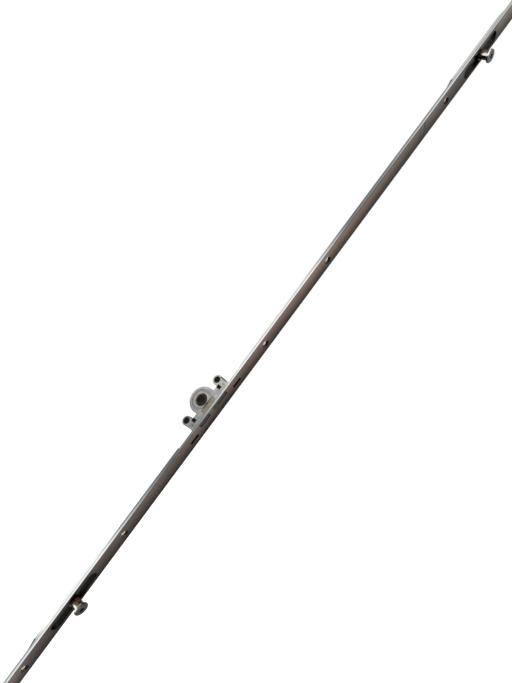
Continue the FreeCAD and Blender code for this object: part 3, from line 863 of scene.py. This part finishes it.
def sintered_finish():
    material, tree, surface = new_finish("oiled_sintered_steel", GEAR_OILED, 0.7, 0.45)
    plain = ramp(tree, noise(tree, 240.0, detail=2.0), [(0.40, GEAR_BLACK), (0.75, GEAR_STAIN)])
    rim = fade(tree, reach_from(tree), *GEAR_RIM)
    far_side = fade(tree, axis_of(tree, "Object", X_AXIS), *GEAR_FAR_SIDE)
    colour = mix(tree, maths(tree, "MULTIPLY", rim, far_side), plain, GEAR_BROWN)
    connect(tree, colour, surface.inputs["Base Color"])
    bump(tree, surface, noise(tree, 1500.0, detail=3.0), 0.4, 0.1 * MM)
    return material


dress(sintered_finish(), "drive_gear")
print("follower dressed")

# %% [markdown]
# ## The black shoes
# The two guide shoes are moulded in black plastic, whose weak shine keeps them near black. Most
# plastics reflect far more, so the shader's specular level is turned down. The gate marks further
# on are the same plastic, only duller and greyer, so one function serves both.

# %% Make the plastic finish
PLASTIC_BLACK = (0.006, 0.006, 0.007)
PLASTIC_DARK = (0.003, 0.003, 0.004)
PLASTIC_PALE = (0.010, 0.010, 0.011)


def plastic_finish(name, tones, roughness, shine, grain_scale, relief):
    """Plastic with a fine grain, in a middle, a dark and a pale tone."""
    middle, dark, pale = tones
    material, tree, surface = new_finish(name, middle, 0.0, roughness)
    surface.inputs["Specular IOR Level"].default_value = shine
    grain = noise(tree, grain_scale, detail=2.0)
    connect(tree, ramp(tree, grain, [(0.3, dark), (0.7, pale)]), surface.inputs["Base Color"])
    bump(tree, surface, grain, *relief)
    return material


shoe_tones = (PLASTIC_BLACK, PLASTIC_DARK, PLASTIC_PALE)
shoe_relief = (0.25, 0.05 * MM)
black_plastic = plastic_finish("black_moulded_plastic", shoe_tones, 0.5, 0.06, 2200.0, shoe_relief)
dress(black_plastic, *SHOES)
print("shoes dressed")

# %% [markdown]
# ## Modelling small marks
# The next pieces are modelled here with Blender's own tools: primitives are placed at their
# real size, joined, given bevels, and then their place is applied, so that each object's
# origin stays at the part's origin. Each one rides on the body it sits on. These marks could
# be drawn in the shaders too, but real relief catches the light from every side.

# %% Helpers for small pieces
def clear_selection():
    bpy.ops.object.select_all(action="DESELECT")


def join_all(pieces):
    clear_selection()
    for piece in pieces:
        piece.select_set(True)
    bpy.context.view_layer.objects.active = pieces[0]
    if len(pieces) > 1:
        bpy.ops.object.join()
    bpy.ops.object.transform_apply(location=True, rotation=True, scale=True)
    return bpy.context.object


def soften(piece, width):
    modifier = piece.modifiers.new("soft_edges", "BEVEL")
    modifier.width = width
    modifier.segments = 2
    bpy.ops.object.modifier_apply(modifier=modifier.name)


def settle(piece, name, body, material):
    """Names a finished piece and fixes it to its body."""
    piece.name = name
    piece.data.materials.clear()
    piece.data.materials.append(material)
    bpy.ops.object.mode_set(mode="EDIT")
    bpy.ops.mesh.select_all(action="SELECT")
    bpy.ops.mesh.normals_make_consistent(inside=False)
    bpy.ops.object.mode_set(mode="OBJECT")
    bpy.ops.object.shade_smooth_by_angle(angle=math.radians(40))
    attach(piece, body)
    print(name, "has", len(piece.data.polygons), "faces")


print("modelling helpers ready")

# %% [markdown]
# ## Pressed ribs on the lug ends
# The casing's four lugs reach through the faceplate and a ribbed punch spreads their ends to
# lock them. A row of low ribs across each end shows that. Each rib is a primitive box with
# rounded edges, repeated at an even pitch.

# %% Model the ribs
RIB_LENGTH = 2.7 * MM
RIB_WIDTH = 0.55 * MM
RIB_HEIGHT = 0.22 * MM
RIB_PITCH = 1.15 * MM
RIB_EDGE = 0.08 * MM
RIBS_PER_LUG = 9
lug_end = casing_high[0]


def rib(side_y, middle_z, number):
    along = middle_z + (number - (RIBS_PER_LUG - 1) / 2) * RIB_PITCH
    clear_selection()
    bpy.ops.mesh.primitive_cube_add(size=1.0, location=(lug_end, side_y * LUG_MIDDLE_Y, along),
                                    scale=(RIB_HEIGHT, RIB_LENGTH, RIB_WIDTH))
    return bpy.context.object


def lug_ribs():
    ribs = []
    for side_y in (-1, 1):
        for middle_z in (-LUG_MIDDLE_Z, LUG_MIDDLE_Z):
            ribs += [rib(side_y, middle_z, number) for number in range(RIBS_PER_LUG)]
    piece = join_all(ribs)
    soften(piece, RIB_EDGE)
    settle(piece, "lug_pressed_ribs", "frame", cast_zinc)


lug_ribs()

# %% [markdown]
# ## The mould's parting line
# Where the two casing halves meet, a hair of metal stands out along the arch and round the
# ears. A small circle is swept round the arch's centre with the Spin tool, which turns a
# profile about an axis, and its open ends are closed afterwards. A bevelled curve would do as
# well, but Spin needs only the centre and the angle, and both are known here.

# %% Model the parting line
FLASH_RADIUS = 0.14 * MM
FLASH_SIDES = 8
EAR_RADIUS = 4.4 * MM
ARCH_SWEEP = math.radians(104)
ARCH_STEPS = 56
EAR_SWEEP = math.radians(90)
EAR_STEPS = 28


def swept_line(middle_z, radius, half_angle, steps):
    """Sweeps a small circle about an axis along Y, centred on the side away from the plate."""
    begin = -half_angle
    start = (-radius * math.cos(begin), 0.0, middle_z + radius * math.sin(begin))
    clear_selection()
    bpy.ops.mesh.primitive_circle_add(vertices=FLASH_SIDES, radius=FLASH_RADIUS, location=start,
                                      rotation=(0.0, begin, 0.0))
    line = bpy.context.object
    bpy.ops.object.transform_apply(location=True, rotation=True, scale=True)
    bpy.ops.object.mode_set(mode="EDIT")
    bpy.ops.mesh.select_all(action="SELECT")
    bpy.ops.mesh.spin(steps=steps, angle=-2 * half_angle, center=(0.0, 0.0, middle_z),
                      axis=(0.0, 1.0, 0.0))
    bpy.ops.mesh.select_all(action="SELECT")
    bpy.ops.mesh.fill_holes(sides=0)
    bpy.ops.object.mode_set(mode="OBJECT")
    return line


def parting_line():
    lines = [swept_line(0.0, arch_radius, ARCH_SWEEP, ARCH_STEPS)]
    for place in (-ear_place, ear_place):
        lines.append(swept_line(place, EAR_RADIUS, EAR_SWEEP, EAR_STEPS))
    settle(join_all(lines), "casing_parting_line", "frame", cast_zinc)


parting_line()

# %% [markdown]
# ## Gate marks on the plastic shoes
# Plastic enters a mould through a small gate and leaves a round nub there. Each black shoe
# shows one in the middle of both its faces. A low cylinder with a rounded rim is enough.

# %% Model the gate marks
GATE_RADIUS = 0.32 * MM
GATE_HEIGHT = 0.12 * MM
GATE_EDGE = 0.04 * MM
GATE_GREY = (0.025, 0.025, 0.026)


def gate_marks():
    nubs = []
    for name in SHOES:
        low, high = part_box(name)
        for face in (low[1], high[1]):
            clear_selection()
            middle = ((low[0] + high[0]) / 2, face, (low[2] + high[2]) / 2)
            bpy.ops.mesh.primitive_cylinder_add(vertices=24, radius=GATE_RADIUS, depth=GATE_HEIGHT,
                                                location=middle, rotation=(math.radians(90), 0.0, 0.0))
            nubs.append(bpy.context.object)
    piece = join_all(nubs)
    soften(piece, GATE_EDGE)
    tones = (GATE_GREY, grey(0.018), grey(0.032))
    relief = (0.2, 0.04 * MM)
    dulled_plastic = plastic_finish("dulled_gate_plastic", tones, 0.6, 0.2, 1800.0, relief)
    settle(piece, "shoe_gate_marks", "frame", dulled_plastic)


gate_marks()

# %% [markdown]
# ## Bright lips on the screw sleeves
# Each sleeve's flared mouth ends in a thin lip. It has a painted highlight on the side towards the
# camera and painted shade round the rest. A torus of the mouth's radius, sunk a little below the
# plate's front, makes the lip.

# %% Model the lips
LIP_RADIUS = 3.62 * MM
LIP_THICKNESS = 0.16 * MM
LIP_SUNK = 0.04 * MM
LIP_STEEL = (0.60, 0.58, 0.54)
LIP_HIGHLIGHT_DIM = (0.42, 0.40, 0.37)
LIP_HIGHLIGHT_FULL = (0.66, 0.65, 0.62)
LIP_SHADE = (0.055, 0.046, 0.040)
LIP_NEAR = (-1.0 * MM, -2.4 * MM)


def ring(place, radius, thickness):
    """Adds a ring that lies flat against the faceplate's front."""
    clear_selection()
    bpy.ops.mesh.primitive_torus_add(location=place, rotation=(0.0, math.radians(90), 0.0),
                                     major_segments=56, minor_segments=10,
                                     major_radius=radius, minor_radius=thickness)
    return bpy.context.object


def lip_finish():
    """Has a painted highlight on the near side of the mouth and painted shade round the rest."""
    material, tree, surface = new_finish("highlit_lip_steel", LIP_STEEL, 1.0, 0.20)
    lip_patches = noise(tree, 420.0, detail=2.0)
    highlight = ramp(tree, lip_patches, [(0.35, LIP_HIGHLIGHT_DIM), (0.60, LIP_HIGHLIGHT_FULL)])
    near = fade(tree, axis_of(tree, "Object", Y_AXIS), *LIP_NEAR)
    # Painted highlight on the near side, painted shade round the rest.
    connect(tree, mix(tree, near, LIP_SHADE, highlight), surface.inputs["Base Color"])
    bump(tree, surface, lip_patches, 0.05, 0.05 * MM)
    return material


lips = [ring((plate_front - LIP_SUNK, 0.0, place), LIP_RADIUS, LIP_THICKNESS)
        for place in sleeve_places]
settle(join_all(lips), "sleeve_lips", "frame", lip_finish())

# %% [markdown]
# ## Turned rings on the mushroom heads
# The lathe leaves a fine raised ring between the socket and the rim of each head. It turns
# with its stud, so it rides on the stud's body, and it is made of the stud's own steel.

# %% Model the head rings
HEAD_RING_SHARE = 0.72
HEAD_RING_THICKNESS = 0.11 * MM
HEAD_RING_SUNK = 0.05 * MM

for name in ("upper", "lower"):
    low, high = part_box("cam_stud_" + name)
    place = (high[0] - HEAD_RING_SUNK, 0.0, cam_place[name])
    head_radius = (high[1] - low[1]) / 2
    head_ring = join_all([ring(place, head_radius * HEAD_RING_SHARE, HEAD_RING_THICKNESS)])
    settle(head_ring, "cam_head_ring_" + name, "stud_" + name, stud_steel[name])

# %% [markdown]
# ## A white studio with a dark card
# The photograph has pure white all round, but the metal's dark front shows that something
# dark stood beyond it. So the floor and the world are white to the camera and to reflections,
# except for one sector that reflections see as dark, like a black card in a real studio. A
# real card would show in some views, while a sector that only reflections see never does.

# %% Helpers for the studio
FLOOR_TONE = 0.62
CARD_BEARING = (0.54, 0.84, 0.0)
CARD_EDGE = (0.10, 0.75)
CARD_LOW = 0.34
CARD_HIGH = 0.50


def card_shade(tree, direction, shade):
    """Is 1 away from the dark card and goes to its shade towards it."""
    flat = vector_maths(tree, "MULTIPLY", direction, (1.0, 1.0, 0.0))
    level = vector_maths(tree, "NORMALIZE", flat)
    closeness = vector_maths(tree, "DOT_PRODUCT", level, CARD_BEARING)
    return fade(tree, closeness, *CARD_EDGE, 1.0, shade)


def ray_kinds(tree):
    """Is 1 for what the camera sees, also through glass, and 1 for what shows in a reflection."""
    rays = tree.nodes.new("ShaderNodeLightPath").outputs
    direct = maths(tree, "MAXIMUM", rays["Is Camera Ray"], rays["Is Transmission Ray"])
    return direct, rays["Is Glossy Ray"]


def seen_light(tree, direct, glossy, card):
    """Is 1 to the camera, and goes to the card's shade in reflections."""
    return maths(tree, "MAXIMUM", direct, maths(tree, "MULTIPLY", glossy, card))


print("studio helpers ready")

# %% [markdown]
# ## The floor
# The floor lies a little below the plate's lower end, so that the rods clear it when they
# travel down, and it still takes the part's shadow. It glows for the camera and reflections
# alone, so that it shows white without adding light from below.

# %% Build the floor
FLOOR_DROP = 24 * MM
FLOOR_SIZE = 8.0
FLOOR_GLOW = 0.80


def floor_finish():
    material, tree, surface = new_finish("floor_white", grey(FLOOR_TONE), 0.0, 0.9)
    direct, glossy = ray_kinds(tree)
    card = card_shade(tree, piece_coordinate(tree), CARD_LOW)
    tone = mix(tree, glossy, grey(FLOOR_TONE), maths(tree, "MULTIPLY", card, FLOOR_TONE))
    connect(tree, tone, surface.inputs["Base Color"])
    seen = seen_light(tree, direct, glossy, card)
    glow = add(tree, "ShaderNodeEmission", {"Strength": maths(tree, "MULTIPLY", seen, FLOOR_GLOW)})
    both = add(tree, "ShaderNodeAddShader", {0: surface.outputs["BSDF"], 1: glow.outputs["Emission"]})
    connect(tree, both.outputs[0], tree.nodes["Material Output"].inputs["Surface"])
    return material


clear_selection()
bpy.ops.mesh.primitive_plane_add(size=FLOOR_SIZE, location=(0.0, 0.0, plate_low[2] - FLOOR_DROP))
floor = bpy.context.object
floor.name = "studio_floor"
floor.data.materials.append(floor_finish())
print("floor laid")

# %% [markdown]
# ## The world
# The world round the part is white to the camera, lights the part evenly from all sides, and
# holds the upper part of the dark card, which grows paler with height. It could be a picture of
# a real studio, but a few nodes are enough for plain white and one card.

# %% Build the world
WORLD_FILL = 0.60
CARD_RISE = (0.05, 0.32)


def studio_world():
    world = bpy.data.worlds.new("studio_world")
    bpy.context.scene.world = world
    world.use_nodes = True
    tree = world.node_tree
    direction = piece_coordinate(tree, "Generated")
    height = add(tree, "ShaderNodeSeparateXYZ", {0: vector_maths(tree, "NORMALIZE", direction)})
    shade = fade(tree, height.outputs[Z_AXIS], *CARD_RISE, CARD_LOW, CARD_HIGH)
    direct, glossy = ray_kinds(tree)
    seen = seen_light(tree, direct, glossy, card_shade(tree, direction, shade))
    plain = maths(tree, "SUBTRACT", 1.0, maths(tree, "MAXIMUM", direct, glossy))
    strength = maths(tree, "ADD", seen, maths(tree, "MULTIPLY", plain, WORLD_FILL))
    background = tree.nodes["Background"]
    background.inputs["Color"].default_value = (1.0, 1.0, 1.0, 1.0)
    connect(tree, strength, background.inputs["Strength"])


studio_world()
print("world ready")

# %% [markdown]
# ## Lamps
# A tall soft box stands high on the casing's near side. It gives the die casting its gentle
# shading and puts a clean streak on the round cams. A smaller one in front opens the shadows.
# Both are area lamps aimed at the gearbox.

# %% Place the lamps
def soft_box(name, place, size, power):
    lamp = bpy.data.lights.new(name, "AREA")
    lamp.shape = "RECTANGLE"
    lamp.size = size[0]
    lamp.size_y = size[1]
    lamp.energy = power
    holder = bpy.data.objects.new(name, lamp)
    holder.location = place
    holder.rotation_euler = (-Vector(place)).to_track_quat("-Z", "Y").to_euler()
    bpy.context.scene.collection.objects.link(holder)


soft_box("side_box", place=(0.35, -1.0, 0.85), size=(0.35, 0.9), power=4.0)
soft_box("front_box", place=(1.0, -0.65, 0.25), size=(0.4, 0.6), power=1.5)
print("lamps placed")

# %% [markdown]
# ## Camera
# The camera stands close to the part with a short lens, so the far end tapers away. Its
# bearing is measured round the bar from the casing's side, and it is rolled, which lays the
# upright bar along the picture's diagonal. Three turns, one after the other, say that more
# plainly than a single set of angles would.

# %% Set the camera
CAMERA_PLACE = (0.2412, -0.3898, 0.0195)
CAMERA_BEARING = math.radians(31.14)
CAMERA_RISE = math.radians(6.05)
CAMERA_ROLL = math.radians(36.70)
CAMERA_LENS = 27.91


def set_camera():
    camera = bpy.data.cameras.new("photo_camera")
    camera.lens = CAMERA_LENS
    camera.sensor_width = 36.0
    camera.clip_start = 0.01
    holder = bpy.data.objects.new("photo_camera", camera)
    turn = Matrix.Rotation(CAMERA_BEARING, 4, "Z")
    tilt = Matrix.Rotation(math.radians(90) + CAMERA_RISE, 4, "X")
    roll = Matrix.Rotation(CAMERA_ROLL, 4, "Z")
    holder.matrix_world = Matrix.Translation(CAMERA_PLACE) @ turn @ tilt @ roll
    bpy.context.scene.collection.objects.link(holder)
    bpy.context.scene.camera = holder
    bpy.context.scene.view_settings.view_transform = "Standard"


set_camera()
print("camera set")
